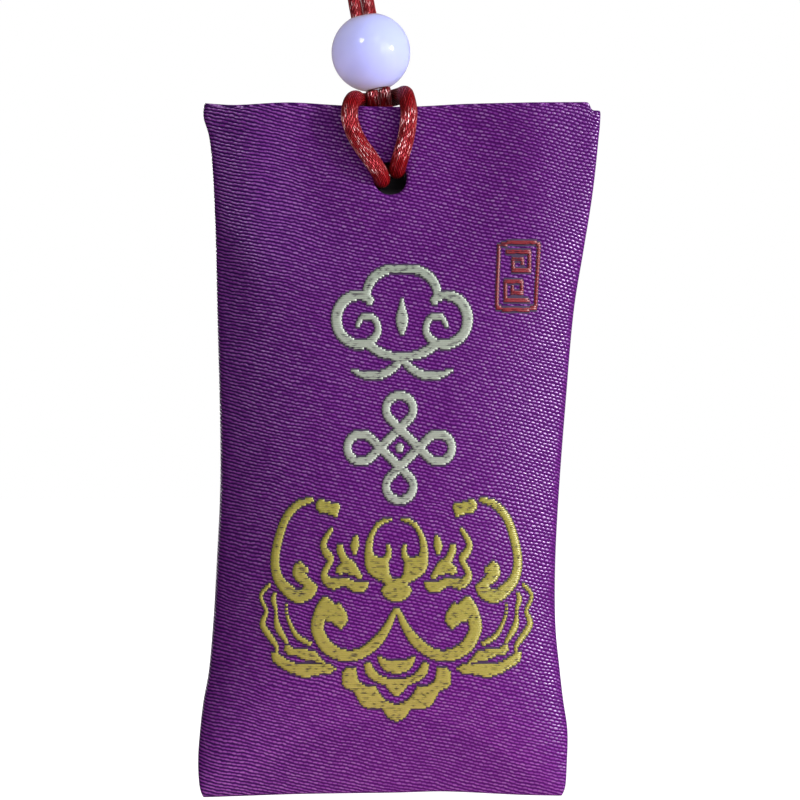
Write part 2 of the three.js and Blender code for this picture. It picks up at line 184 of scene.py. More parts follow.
def threadCloth(name, setup):
    material, tree = newMaterial(name)
    pitch, uneven = setup["rowPitch"], setup["uneven"]
    cloth = addNode(tree, "UVMap", uv_map=threadMap)
    spot = addNode(tree, "SeparateXYZ", {0: cloth}).outputs
    low, high = floats["leftShadeAndLoose"]
    fromLeft = addNode(tree, "MapRange", {"Value": spot["X"], "From Min": low, "From Max": high})
    low, high = floats["looseFoot"]
    fromFoot = addNode(tree, "MapRange", {"Value": spot["Y"], "From Min": low, "From Max": high})
    loose = addNode(tree, "Math", {0: fromLeft, 1: fromFoot}, operation="MINIMUM")
    dip = addNode(tree, "MapRange", {"Value": loose, "To Min": setup["tightDip"], "To Max": setup["dip"]})
    moves = []
    for scale, reach in ((floats["driftScale"], floats["drift"]), (floats["shakeScale"], uneven)):
        move = addNode(tree, "TexNoise", {"Vector": cloth, "Scale": scale, "Detail": 1.0}).outputs["Color"]
        move = addNode(tree, "VectorMath", {0: move, 1: (0.5, 0.5, 0.5)}, operation="SUBTRACT")
        moves.append(addNode(tree, "VectorMath", {0: move, "Scale": pitch * reach}, operation="SCALE"))
    moved = addNode(tree, "VectorMath", {0: moves[0], 1: moves[1]}, operation="ADD")
    moved = addNode(tree, "VectorMath", {0: cloth, 1: moved}, operation="ADD")
    turned = addNode(tree, "VectorRotate", {"Vector": moved, "Angle": setup["tilt"]}, rotation_type="Z_AXIS")
    axes = addNode(tree, "SeparateXYZ", {0: turned}).outputs
    made = {"x": axes["X"], "y": axes["Y"], "loose": loose, "dip": dip}
    shape = [  # result, operation and what goes in
        ("row", "DIVIDE", "y", pitch),
        ("rowNumber", "FLOOR", "row"),
        ("inRow", "FRACT", "row"),
        ("shift", "MULTIPLY", "rowNumber", setup["stagger"]),
        ("cell", "DIVIDE", "x", setup["floatLength"]),
        ("cell", "ADD", "cell", "shift"),
        ("cellNumber", "FLOOR", "cell"),
        ("inCell", "FRACT", "cell"),
        ("across", "MULTIPLY", "inRow", math.pi),
        ("across", "SINE", "across"),
        ("along", "MULTIPLY", "inCell", math.pi),
        ("along", "SINE", "along"),
        ("along", "POWER", "along", floats["flatness"]),
        ("along", "SUBTRACT", "along", 1.0),
        ("along", "MULTIPLY_ADD", "along", "dip", 1.0),
        ("height", "MULTIPLY", "across", "along"),
        ("rib", "ADD", "height", "across"),
    ]
    for result, operation, *values in shape:
        inputs = {n: made.get(value, value) for n, value in enumerate(values)}
        made[result] = addNode(tree, "Math", inputs, operation=operation)
    key = addNode(tree, "CombineXYZ", {0: made["rowNumber"], 1: made["cellNumber"]})
    made["own"] = addNode(tree, "TexWhiteNoise", {"Vector": key}, noise_dimensions="2D").outputs["Value"]
    fibre = addNode(tree, "VectorMath", {0: turned, 1: floats["fibreScale"]}, operation="MULTIPLY")
    made["fibre"] = addNode(tree, "TexNoise", {"Vector": fibre, "Scale": 1.0, "Detail": 2.0}).outputs["Fac"]
    made["spark"] = addNode(tree, "MapRange", {"Value": made["own"], "To Min": 1 - uneven})
    made["crown"], made["peak"] = made["height"], made["own"]  # these three are cut off below and above
    for result, (low, high) in (("rib", setup["rib"]), ("crown", setup["crown"]), ("peak", floats["peak"])):
        inputs = {"Value": made[result], "From Min": low, "From Max": high}
        made[result] = addNode(tree, "MapRange", inputs, interpolation_type="SMOOTHSTEP")
    spread, shift = floats["dull"]
    look = [
        ("lean", "SUBTRACT", "own", 0.5),  # each float tilts its own way
        ("lean", "MULTIPLY", "lean", "inCell"),
        ("lean", "MULTIPLY", "lean", "across"),
        ("relief", "MULTIPLY_ADD", "lean", setup["lean"], "height"),
        ("relief", "MULTIPLY_ADD", "fibre", setup["fibre"], "relief"),
        ("lit", "MULTIPLY_ADD", "own", uneven, 1 - uneven / 2),
        ("streak", "MULTIPLY_ADD", "fibre", *floats["streak"]),
        ("lit", "MULTIPLY", "lit", "streak"),
        ("lit", "MULTIPLY", "rib", "lit"),
        ("dull", "MULTIPLY_ADD", "own", spread, setup["roughness"] + shift),
        ("spark", "MULTIPLY", "spark", "crown"),
        ("peak", "MULTIPLY", "peak", "crown"),
        ("peak", "MULTIPLY", "peak", "loose"),
    ]
    for result, operation, *values in look:
        inputs = {n: made.get(value, value) for n, value in enumerate(values)}
        made[result] = addNode(tree, "Math", inputs, operation=operation)
    tint = linear(setup["specularTint"])
    deep = tuple(c * setup["valleyShine"] for c in tint[:3]) + (1,)
    # the valley colour is painted shade between the threads, where they would shade each other
    mixes = [  # result, factor and the two colours
        # painted shade: on the satin's left, which turns from the light, the valleys darken further
        ("valley", fromLeft, linear(setup["shadedLeftValley"]), linear(setup["valley"])),
        ("colour", "lit", "valley", linear(setup["crest"])),
        ("shine", "spark", deep, tint),
        ("shine", "peak", "shine", linear(setup["specularPeak"])),
    ]
    for result, *values in mixes:
        inputs = {socket: made.get(value, value) for socket, value in zip(("Factor", "A", "B"), values)}
        made[result] = addNode(tree, "Mix", inputs, data_type="RGBA").outputs["Result"]
    dull = {"Value": made["crown"], "To Min": floats["valleyRoughness"], "To Max": made["dull"]}
    bump = {"Height": made["relief"], "Strength": 1.0, "Distance": setup["relief"] * mm}
    finishMaterial(tree, {
        "Base Color": made["colour"],
        "Roughness": addNode(tree, "MapRange", dull),
        "IOR": setup["ior"],
        "Specular IOR Level": setup["level"],
        "Specular Tint": made["shine"],
        "Anisotropic": setup["anisotropy"],
        "Sheen Weight": setup["sheen"],
        "Sheen Roughness": floats["sheenRoughness"],
        "Sheen Tint": tint,
        "Tangent": addNode(tree, "Tangent", direction_type="UV_MAP", uv_map=threadMap),
        "Normal": addNode(tree, "Bump", bump),
    })
    return material


# purple filament satin, floats in ribs about half a millimetre apart: shiny crests over valleys painted dark
# with shade
satin = threadCloth("purple woven satin", {
    "rowPitch": 0.44, "floatLength": 0.68, "stagger": 0.5, "tilt": math.radians(13), "relief": 0.065,
    "dip": 0.65, "tightDip": 0.28, "lean": 0.8, "fibre": 0.45, "uneven": 0.6,
    # the darker left valley colour here is painted shade
    "valley": "#310142", "shadedLeftValley": "#1c0132", "crest": "#5b0a6c", "rib": (0.95, 1.95),
    "crown": (0.5, 0.97), "roughness": 0.36, "anisotropy": 0.0, "sheen": 0.03,
    "ior": 1.7, "level": 1.0,  # polyester is about 1.6, raised until the crests shine as in the photograph
    "specularTint": "#e2d6f4", "specularPeak": "#f4eeff", "valleyShine": 0.05,
})
# red rattail cord: lengthwise floats round a soft core break the sheen into dashes; drawn 0.22 mm wide,
# about twice the real ones, so that they show
# its dark valley colour is painted shade between the floats
redCord = threadCloth("dark red braided satin cord", {
    "rowPitch": 0.22, "floatLength": 0.7, "stagger": 0.37, "tilt": math.radians(90), "relief": 0.035,
    "dip": 0.45, "tightDip": 0.45, "lean": 0.8, "fibre": 0.4, "uneven": 0.9,
    "valley": "#2c0304", "shadedLeftValley": "#2c0304", "crest": "#7c0c12", "rib": (0.8, 1.95),
    "crown": (0.5, 0.97), "roughness": 0.38, "anisotropy": 0.95, "sheen": 0.0,
    "ior": 1.6, "level": 1.0,
    "specularTint": "#e2626e", "specularPeak": "#ffe0e3", "valleyShine": 0.0,
})
grainRelief = 0.05  # mm


def simpleMaterial(name, code, grain, inputs, grainScale=2000):  # grains per metre: half a millimetre each
    material, tree = newMaterial(name)
    place = addNode(tree, "TexCoord").outputs["Object"]
    speck = addNode(tree, "TexNoise", {"Vector": place, "Scale": grainScale, "Detail": 2.0}).outputs["Fac"]
    base = linear(code)
    dark = tuple(c * (1 - grain) for c in base[:3]) + (1,)
    colour = addNode(tree, "Mix", {"Factor": speck, "A": dark, "B": base}, data_type="RGBA").outputs["Result"]
    bump = addNode(tree, "Bump", {"Height": speck, "Strength": grain, "Distance": grainRelief * mm})
    finishMaterial(tree, {"Base Color": colour, "Normal": bump, **inputs})
    return material


# polished resin: light goes millimetres deep and comes out bluish, and a painted glow keeps its shade side
# pale
beadResin = simpleMaterial("polished white resin", "#7e8cc4", 0.03, {
    "Roughness": 0.13, "Specular IOR Level": 0.22,
    "Subsurface Weight": 1.0, "Subsurface Radius": (1, 1, 1), "Subsurface Scale": 0.006,
    "Emission Color": linear("#ffdcd2"), "Emission Strength": 0.2,  # painted glow, in place of light carried through from behind
}, 300)  # cloudy rather than grained
# brocade wefts are flat film yarns: a soft broad gloss, mottled where the yarn twists
filmTwist = 3000  # per metre, a third of a millimetre each
goldThread = simpleMaterial("gold brocade thread", "#77752c", 0.25, {
    "Roughness": 0.36, "Specular IOR Level": 0.6, "Specular Tint": linear("#fff4d0"),
}, filmTwist)
silverThread = simpleMaterial("silver brocade thread", "#7b8478", 0.2, {
    "Roughness": 0.36, "Specular IOR Level": 0.5,
}, filmTwist)
sealThread = simpleMaterial("red brocade thread", "#6a1220", 0.25, {
    "Roughness": 0.38, "Specular IOR Level": 0.35,
}, filmTwist)
# painted shade: a thin dark sheet without gloss round the wefts, where the ground dips at a motif's edge
motifShade = simpleMaterial("painted shade round motifs", "#280936", 0.2, {"Roughness": 0.7}, filmTwist)
# inside the pouch: bonded and loose fibre and uncoated card are matt, sewing thread a little less so
# the interlining is black, a colour such linings have, and also painted shade: it keeps the punched hole dark
interliningFelt = simpleMaterial("black bonded interlining", "#17131a", 0.4, {"Roughness": 0.95})
waddingFibre = simpleMaterial("white polyester wadding", "#ece8df", 0.3, {"Roughness": 1.0})
cardStock = simpleMaterial("gold card stock", "#d9b64a", 0.15, {"Roughness": 0.7})
sewingThread = simpleMaterial("purple sewing thread", "#5a1a6c", 0.3, {"Roughness": 0.6})
print("materials made")


# cords
cord = {"width": 2.2, "sides": 28, "step": 0.22, "swell": 0.025, "swellScale": 0.9}


def tube(name, line, widths, material):  # widths: share along the line to (across, deep)
    points = [Vector(p) for p in line]
    last, sides = len(points) - 1, cord["sides"]
    rings, lengths = [], [0]
    heading = (points[1] - points[0]).normalized()
    aside = Vector((0, 1, 0)) if abs(heading.y) < 0.9 else Vector((1, 0, 0))
    side = heading.cross(aside).normalized()
    for i, point in enumerate(points):
        if i:
            lengths.append(lengths[-1] + (point - points[i - 1]).length)
        heading = (points[min(i + 1, last)] - points[max(i - 1, 0)]).normalized()
        side = (side - heading * side.dot(heading)).normalized()
        deep = heading.cross(side)
        wide, thick = widths(i / last)
        for k in range(sides):
            c, s = math.cos(2 * math.pi * k / sides), math.sin(2 * math.pi * k / sides)
            swell = 1 + cord["swell"] * noise.noise(point * cord["swellScale"] + Vector((c, s, 0)))
            rings.append(at(*(point + (side * c * wide + deep * s * thick) * (swell / 2))))
    faces, uv = [], []
    girth = math.pi * sum(widths(0.5)) / 2
    for i in range(last):
        low, high = lengths[i], lengths[i + 1]
        for k in range(sides):
            n = (k + 1) % sides
            faces.append((i * sides + k, i * sides + n, (i + 1) * sides + n, (i + 1) * sides + k))
            left, right = girth * k / sides, girth * (k + 1) / sides
            uv += [(left, low), (right, low), (right, high), (left, high)]
    for ring, turn in ((0, -1), (last, 1)):
        cap = [ring * sides + k for k in range(sides)][::turn]
        faces.append(tuple(cap))
        uv += [(girth * k / sides, lengths[ring]) for k in range(sides)]
    return newObject(name, rings, faces, material, uv)


# the lark's head: down through the hole, up the front, round the back of the strands and back again
hitchRoute = [
    (-2.4, 1.6, 11.55), (-2.34, 1.6, 11), (-2.36, 1.8, 10.3), (-2.35, 2.2, 9.4), (-2.25, 2.5, 7.8),
    (-1.95, 2.7, 5.5), (-1.65, 2.8, 3.3), (-1.35, 2.6, 1.4), (-1.2, 1.75, 0.2), (-1.2, 0, -0.1),
    (-1.15, -1.5, 0), (-1.45, -2.3, 0.75), (-2.3, -2.55, 2.1), (-3.45, -2.5, 3.7), (-4.5, -2.4, 5.4),
    (-5.15, -2.35, 7.1), (-5.3, -2.35, 8.3), (-5.15, -2.1, 9.4), (-4.8, -1.1, 10.2),
    (-4.45, 0.4, 10.42), (-4.25, 1.9, 10.36), (-3.85, 3.3, 10.32), (-3.3, 4.1, 10.4),
    (-2.5, 4.4, 10.48), (-1.65, 4.45, 10.55), (-0.75, 4.4, 10.7), (0.2, 4.1, 10.8), (1, 3.2, 10.95),
    (1.5, 1.9, 11.05), (1.75, 0.5, 11.05), (1.95, -0.9, 10.8), (2.2, -2, 9.9), (2.4, -2.4, 8.6),
    (2.3, -2.4, 7), (2, -2.45, 5.2), (1.6, -2.5, 3.7), (1.15, -2.3, 2.2), (0.9, -1.4, 1.3),
    (0.85, 0, 1.1), (0.8, 1.6, 1.3), (0.6, 2.5, 2.1), (0.4, 2.8, 3.6), (0.1, 2.7, 5.6),
    (-0.35, 2.5, 7.8), (-0.56, 2.2, 9.5), (-0.64, 1.8, 10.6), (-0.72, 1.6, 11.4), (-0.82, 1.6, 11.85),
]
hitchEnds = {"width": 1.6, "from": 0.03, "to": 0.09}  # squeezed where they go up into the bead


def hitchWidths(share):
    full = ease(min(share, 1 - share), hitchEnds["from"], hitchEnds["to"])
    width = hitchEnds["width"] + (cord["width"] - hitchEnds["width"]) * full
    return width, width


hitch = tube("hitchCord", smoothLine(hitchRoute, cord["step"]), hitchWidths, redCord)
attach(hitch, "hitch")
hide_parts("hitch_cord")

# a knot of three wraps closes the hanging loop
knot = {
    "middle": (-7.2, 1.6), "base": 71.6, "height": 6, "width": 7.6, "flatness": 0.82,
    "wraps": 3, "wrapSteps": 40, "swell": 1.02, "tuck": 0.55, "tuckShare": 0.06,
}


def knotLine(setup):
    ring = (setup["width"] - cord["width"]) / 2
    rise = (setup["height"] - cord["width"]) / setup["wraps"]
    steps = setup["wrapSteps"] * setup["wraps"]
    tuck, ends = setup["tuck"], setup["tuckShare"]
    line = []
    for i in range(steps + 1):
        share = i / steps
        angle = 2 * math.pi * setup["wraps"] * share - math.pi / 2
        pull = ring * (1 - tuck * (1 - ease(share, 0, ends)) - tuck * ease(share, 1 - ends, 1))
        line.append((
            setup["middle"][0] + pull * math.cos(angle),
            setup["middle"][1] + pull * math.sin(angle) * setup["flatness"],
            setup["base"] + cord["width"] / 2 + rise * setup["wraps"] * share,
        ))
    return line


def knotWidths(share):
    return cord["width"] * knot["swell"], cord["width"] * knot["swell"]


barrel = tube("barrelKnot", knotLine(knot), knotWidths, redCord)
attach(barrel, "cord")
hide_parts("barrel_knot")

# the trimmed ends above it, melted to small round tips
tailRoutes = {
    "Left": [(-8.2, 1.6, 75), (-8.3, 1.6, 78.1), (-8.6, 1.5, 79.8), (-9.3, 1.3, 81.6), (-10.3, 1, 83.2)],
    "Right": [(-6.2, 1.6, 75), (-6.1, 1.6, 78.1), (-5.9, 1.7, 79.9), (-5.4, 1.9, 81.7), (-4.6, 2.2, 83.3)],
}
tailTip = {"from": 0.9, "drawnIn": 0.75}


def tailWidths(share):
    width = cord["width"] * (1 - tailTip["drawnIn"] * ease(share, tailTip["from"], 1) ** 2)
    return width, width


for hand, route in tailRoutes.items():
    tail = tube(f"cordTail{hand}", smoothLine(route, cord["step"]), tailWidths, redCord)
    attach(tail, "cord")
    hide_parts(f"cord_tail_{hand.lower()}")

# two strands rise from the hitch through the bead, pinched side by side there, and open into the loop
strandRoutes = {
    "Left": [
        (-2.44, 11.74), (-3.07, 14.9), (-3.7, 18.1), (-4.35, 21.4), (-5.15, 25.5), (-6.05, 29.4),
        (-6.9, 33.3), (-7.9, 38), (-8.95, 43.5), (-9.85, 49.5), (-10.55, 55), (-11, 60), (-11.05, 64),
        (-10.5, 67), (-9.3, 69.2), (-8.35, 71.3), (-7.95, 73.2), (-7.8, 74.6),
    ],
    "Right": [
        (-0.8, 12.06), (-1.42, 15.2), (-2.05, 18.4), (-2.7, 21.7), (-3.45, 25.8), (-4.1, 29.8),
        (-4.75, 33.7), (-5.25, 37.5), (-5.4, 42), (-5.1, 47.5), (-4.5, 53), (-3.8, 58.5), (-3.35, 64),
        (-3.9, 67), (-5.1, 69.2), (-6.05, 71.3), (-6.45, 73.2), (-6.6, 74.6),
    ],
}
strandDepth = 1.6
pinched = {"wide": 1.68, "deep": 2.2, "from": 0.2, "to": 0.45}  # shares of a strand's length


def strandWidths(share):
    freed = ease(share, pinched["from"], pinched["to"])
    wide = pinched["wide"] + (cord["width"] - pinched["wide"]) * freed
    return wide, pinched["deep"] + (cord["width"] - pinched["deep"]) * freed


for hand, route in strandRoutes.items():
    line = smoothLine([(x, strandDepth, z) for x, z in route], cord["step"])
    strand = tube(f"hangStrand{hand}", line, strandWidths, redCord)
    path = [at(*p) for p in line]
    length = sum((b - a).length for a, b in zip(path, path[1:]))
    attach(strand, "cord")
    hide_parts(f"hang_strand_{hand.lower()}")
    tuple(path[0])
    print(f"strand {hand}: {length / mm:.1f} mm")


# bead
bead = {
    "width": 10.25, "mouth": 1.5, "rim": 0.25, "rimSteps": 6, "rimFall": 0.4, "bore": 0.8,
    "sides": 72, "steps": 40,
}


def makeBead(setup):
    low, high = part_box("bead")
    middle = (low + high) / 2
    axis = Vector(joints["bead_slide"]["axis"]).normalized()
    side = axis.cross(Vector((0, 1, 0))).normalized()
    deep = axis.cross(side)
    radius = setup["width"] / 2
    mouth, rim, rimSteps = setup["mouth"], setup["rim"], setup["rimSteps"]
    top = math.acos((mouth + rim) / radius)
    height = radius * math.sin(top)
    angles = [top * (2 * i / setup["steps"] - 1) for i in range(setup["steps"] + 1)]
    profile = [(radius * math.cos(a), radius * math.sin(a)) for a in angles]
    for i in range(1, rimSteps + 1):  # rounded rim, then the bore, then the other rim
        a = math.pi / 2 * i / rimSteps
        profile.append((mouth + rim * (1 - math.sin(a)), height - rim * setup["rimFall"] * (1 - math.cos(a))))
    lower = [(r, -h) for r, h in profile[-rimSteps:]][::-1]
    profile += [(mouth, height * share) for share in (setup["bore"], 0, -setup["bore"])] + lower
    count, rings = setup["sides"], len(profile)
    points, faces = [], []
    for i, (r, h) in enumerate(profile):
        here, after = i * count, (i + 1) % rings * count
        for k in range(count):
            a = 2 * math.pi * k / count
            n = (k + 1) % count
            points.append(middle + (axis * h + side * (r * math.cos(a)) + deep * (r * math.sin(a))) * mm)
            faces.append((here + k, here + n, after + n, after + k))
    return newObject("resinBead", points, faces, beadResin)


beadBall = makeBead(bead)
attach(beadBall, "bead")
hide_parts("bead")
print("cords, knot and bead made")


# pouch: one bag of satin, seamed at the sides and bottom, its mouth turned in
pouch = {
    "leftEdge": [
        (-80.3, -24.3), (-79, -24.85), (-75.4, -25.1), (-71.5, -24.85), (-67.6, -24.4), (-63.7, -23.7),
        (-56, -23.05), (-48, -22.6), (-40.3, -22.25), (-32.5, -22.25), (-17, -22.65), (-5.3, -22.9),
        (2.5, -23.3), (6.3, -23.8), (7.4, -24.3), (8.6, -24.45), (9.7, -24.3),
    ],
    "rightEdge": [
        (-80.3, 22.2), (-79.2, 22.75), (-76, 23), (-71.5, 23.1), (-67.6, 22.55), (-63.7, 22.1),
        (-58, 21.55), (-50, 21.5), (-40.3, 22), (-28.7, 22.9), (-17, 23.95), (-9.2, 25.2), (-1.4, 26.4),
        (6.3, 27.2), (9.7, 27.4),
    ],
    "mouthLine": [
        (-24.4, 9.66), (-20, 9.35), (-13, 9.66), (-6.5, 9.3), (-1.5, 9.1), (3.2, 9.15), (9, 9.45),
        (14, 9.56), (25.5, 9.76), (25.76, 9.74), (25.95, 8.75), (26.3, 8.7), (27.4, 8.66),
    ],
    "baseLine": [
        (-24, -80.4), (-21, -80.3), (-12, -80), (1, -79.8), (7, -79.65), (17, -80.1), (22, -80.2),
    ],
    "mouth": 9.7, "base": -80.3, "waist": -46.4,
    "edgeReach": 5,  # how far in the mouth and base lines bend the cloth
    "frontBelly": 5, "backBelly": 7, "mouthDepth": 1.25, "section": 2.8, "footCurve": (2.2, 0.8),
    "columns": 64, "columnMix": (0.45, 0.55),  # even spacing, and spacing that closes up at the sides
    "rows": 104, "rowMix": (0.75, 0.25),  # the same, closing up at the bottom
    "backThread": 200,  # thread coordinate that the back starts from
    "hem": [(0.12, 0.18), (0.34, 0.2), (0.48, 0), (0.5, -2.5), (0.5, -5)],  # in, up
    "hemFrom": 7.5, "hemRoom": (0.2, 0.3),
}
cornerStep = {"at": 25.82, "reach": 0.6, "pull": 0.65, "below": 3}  # columns close up where the mouth drops
punched = {"width": 4.4, "backLift": 1.5, "reach": 1.6, "edge": 0.5}
inflation = {
    "scale": 20, "frames": 20, "limit": 1.2, "held": (-14, 4), "seam": 2,
    "cloth": {
        "quality": 6, "mass": 0.3, "tension_stiffness": 25, "compression_stiffness": 25,
        "shear_stiffness": 15, "bending_stiffness": 20, "use_pressure": True, "uniform_pressure_force": 4,
        "vertex_group_mass": "pins",
    },
}


def edgesAt(z):
    return through(pouch["leftEdge"], z), through(pouch["rightEdge"], z)


def bagPoint(s, t, face):
    mouth, base, waist = pouch["mouth"], pouch["base"], pouch["waist"]
    z = base + (mouth - base) * t
    left, right = edgesAt(z)
    x = (left + right) / 2 + (right - left) / 2 * s
    aside = x - cornerStep["at"]
    tight = cornerStep["pull"] * ease(z, mouth - cornerStep["below"], mouth)
    x -= aside * tight * math.exp(-(aside / cornerStep["reach"]) ** 2)
    belly = pouch["frontBelly"] if face < 0 else pouch["backBelly"]
    if z > waist:
        drop = (mouth - z) / (mouth - waist)
        depth = pouch["mouthDepth"] + (belly - pouch["mouthDepth"]) * math.sin(drop * math.pi / 2) ** 2
    else:
        fall = (waist - z) / (waist - base)
        inner, outer = pouch["footCurve"]
        depth = belly * (1 - fall ** inner) ** outer
    power = pouch["section"]
    y = face * depth * (1 - abs(s) ** power) ** (1 / power)
    top = ease(z, mouth - pouch["edgeReach"], mouth)
    foot = 1 - ease(z, base, base + pouch["edgeReach"])
    z += (through(pouch["mouthLine"], x) - mouth) * top + (through(pouch["baseLine"], x) - base) * foot
    return Vector((x, y, z))


def bagGrid():
    columns, rows = pouch["columns"], pouch["rows"]
    evenColumns, closeColumns = pouch["columnMix"]
    evenRows, closeRows = pouch["rowMix"]
    points, index, quads = [], {}, []
    for face in (-1, 1):
        for j in range(rows + 1):
            v = j / rows
            t = evenRows * v + closeRows * (1 - math.cos(v * math.pi / 2))
            for i in range(columns + 1):
                if face > 0 and (i in (0, columns) or j == 0):
                    index[face, i, j] = index[-1, i, j]  # the seam
                    continue
                u = 2 * i / columns - 1
                s = evenColumns * u + closeColumns * math.sin(u * math.pi / 2)
                index[face, i, j] = len(points)
                points.append(bagPoint(s, t, face))
        for j in range(rows):
            for i in range(columns):
                quad = [(face, i, j), (face, i + 1, j), (face, i + 1, j + 1), (face, i, j + 1)]
                quads.append(quad if face < 0 else quad[::-1])
    return points, index, quads


def inflate(points, index, faces):
    mesh = bpy.data.meshes.new("inflating")
    scale = inflation["scale"] * mm
    mesh.from_pydata([p * scale for p in points], [], faces)
    obj = bpy.data.objects.new("inflating", mesh)
    scene.collection.objects.link(obj)
    pins = obj.vertex_groups.new(name="pins")
    columns, seam = pouch["columns"], inflation["seam"]
    for (face, i, j), n in index.items():
        mouth = ease(points[n].z, *inflation["held"])
        held = max(mouth, 1 - ease(min(i, columns - i), 0, seam), 1 - ease(j, 0, seam))
        pins.add([n], held, "REPLACE")
    cloth = obj.modifiers.new("inflate", "CLOTH")
    for key, value in inflation["cloth"].items():
        setattr(cloth.settings, key, value)
    cloth.settings.effector_weights.gravity = 0
    cloth.collision_settings.use_collision = False
    for step in range(1, inflation["frames"] + 1):
        scene.frame_set(step)
    shaped = obj.evaluated_get(bpy.context.evaluated_depsgraph_get()).data
    moved = []
    for p, vertex in zip(points, shaped.vertices):
        push = vertex.co / scale - p
        if push.length > inflation["limit"]:
            push *= inflation["limit"] / push.length
        moved.append(p + push)
    print(f"cloth inflated, moved at most {max((a - b).length for a, b in zip(points, moved)):.2f} mm")
    bpy.data.objects.remove(obj)
    scene.frame_set(1)
    return moved


# folds and hollows that the drawn-up cord and the stuffing leave in the cloth
dents = [
    {"depth": 0.2, "x": -5.5, "z": 3.5, "wide": 3.2, "tall": 4.5},
    {"depth": 0.35, "x": 0, "z": 1, "wide": 3.4, "tall": 3.2},
    {"depth": 0.25, "x": 4.2, "z": 4.5, "wide": 2.2, "tall": 4},
]
fullness = {
    "left": -25, "right": 27, "sideReach": (1, 9),
    "hitch": (-1, 2), "hitchRise": 0.55, "hitchReach": (3.5, 11),  # the hitch pushes the front out here
    "chestRise": 0.8, "chestReach": (10, 20), "chestFrom": (-24, -6),  # and the stuffing farther out
    "ripple": 0.12, "rippleAcross": 0.09, "rippleUp": 0.07, "sideRipple": 0.22,
    "plane": 3, "sideLine": (7, 2),  # places in the noise, so that each face and side ripples its own way
}


def hollow(x, z, face):
    depth = 0
    for dent in dents:
        away = ((x - dent["x"]) / dent["wide"]) ** 2 + ((z - dent["z"]) / dent["tall"]) ** 2
        depth += dent["depth"] * math.exp(-away)
    side = 1 - ease(min(x - fullness["left"], fullness["right"] - x), *fullness["sideReach"])
    if face < 0:
        ring = math.dist((x, z), fullness["hitch"])
        chest = ease(ring, *fullness["chestReach"]) * ease(z, *fullness["chestFrom"]) * (1 - side)
        depth -= fullness["chestRise"] * chest
        depth -= fullness["hitchRise"] * (1 - ease(ring, *fullness["hitchReach"]))
    across, up = x * fullness["rippleAcross"], z * fullness["rippleUp"]
    middleSpot = Vector((across, face * fullness["plane"], up))
    first, second = fullness["sideLine"]
    sideSpot = Vector((face * first, second, z * fullness["sideRipple"]))
    depth += fullness["ripple"] * (noise.noise(middleSpot) + side * noise.noise(sideSpot))
    return depth


def madeOf(made, kind):  # the new corners, edges or faces of an extrusion
    return [g for g in made["geom"] if isinstance(g, kind)]


def holeMiddle(face):  # the cord drags the back's hole up
    return at(0, 0, punched["backLift"] if face > 0 else 0)


def nearHole(p, face, reach):
    middle = holeMiddle(face)
    return math.hypot(p.x - middle.x, p.z - middle.z) < reach and (p.y - hole.y) * face > 0


def punch(work):  # the hole through both faces
    radius = punched["width"] / 2 * mm
    for face in (-1, 1):
        inside = [f for f in work.faces if nearHole(f.calc_center_median(), face, radius)]
        bmesh.ops.delete(work, geom=inside, context="FACES")
        rim = []
        for edge in work.edges:
            first, second = (v.co for v in edge.verts)
            if edge.is_boundary and nearHole((first + second) / 2, face, radius * punched["reach"]):
                rim.append(edge)
        middle = holeMiddle(face)
        for vert in {v for e in rim for v in e.verts}:
            offset = Vector((vert.co.x - middle.x, 0, vert.co.z - middle.z))
            offset *= radius / offset.length
            vert.co.x, vert.co.z = middle.x + offset.x, middle.z + offset.z
        for vert in madeOf(bmesh.ops.extrude_edge_only(work, edges=rim), bmesh.types.BMVert):
            vert.co.y -= face * punched["edge"] * mm


def turnIn(work):  # the mouth's edge is folded over and runs back down inside
    top = at(0, 0, pouch["hemFrom"]).z
    loop = [e for e in work.edges if e.is_boundary and max(v.co.z for v in e.verts) > top]
    start = {v: v.co.copy() for e in loop for v in e.verts}
    uvLayer = work.loops.layers.uv[threadMap]
    thread = {v: Vector(((co.x - hole.x) / mm, (co.z - hole.z) / mm)) for v, co in start.items()}
    depth = pouch["mouthDepth"] * mm
    least, more = pouch["hemRoom"]
    walked, last = 0, (0, 0)
    for inward, upward in pouch["hem"]:
        walked += math.dist(last, (inward, upward))
        last = (inward, upward)
        room = least + more * ease(-upward, 0, 1)
        made = bmesh.ops.extrude_edge_only(work, edges=loop)
        origin = {}
        for vert in madeOf(made, bmesh.types.BMVert):
            source = next(e.other_vert(vert) for e in vert.link_edges if e.other_vert(vert) in start)
            origin[vert] = start[source]
        for vert, base in origin.items():
            thin = min(abs(base.y - hole.y), depth) / depth
            place = (base - hole) / mm
            place += Vector((0, -math.copysign(1, base.y - hole.y) * inward * thin, upward))
            left, right = edgesAt(place.z)
            place.x = min(max(place.x, left + room), right - room)
            vert.co = at(*place)
            thread[vert] = Vector(((base.x - hole.x) / mm, (base.z - hole.z) / mm + walked))
        for quad in madeOf(made, bmesh.types.BMFace):
            for corner in quad.loops:
                corner[uvLayer].uv = thread[corner.vert]
        start = origin
        loop = madeOf(made, bmesh.types.BMEdge)


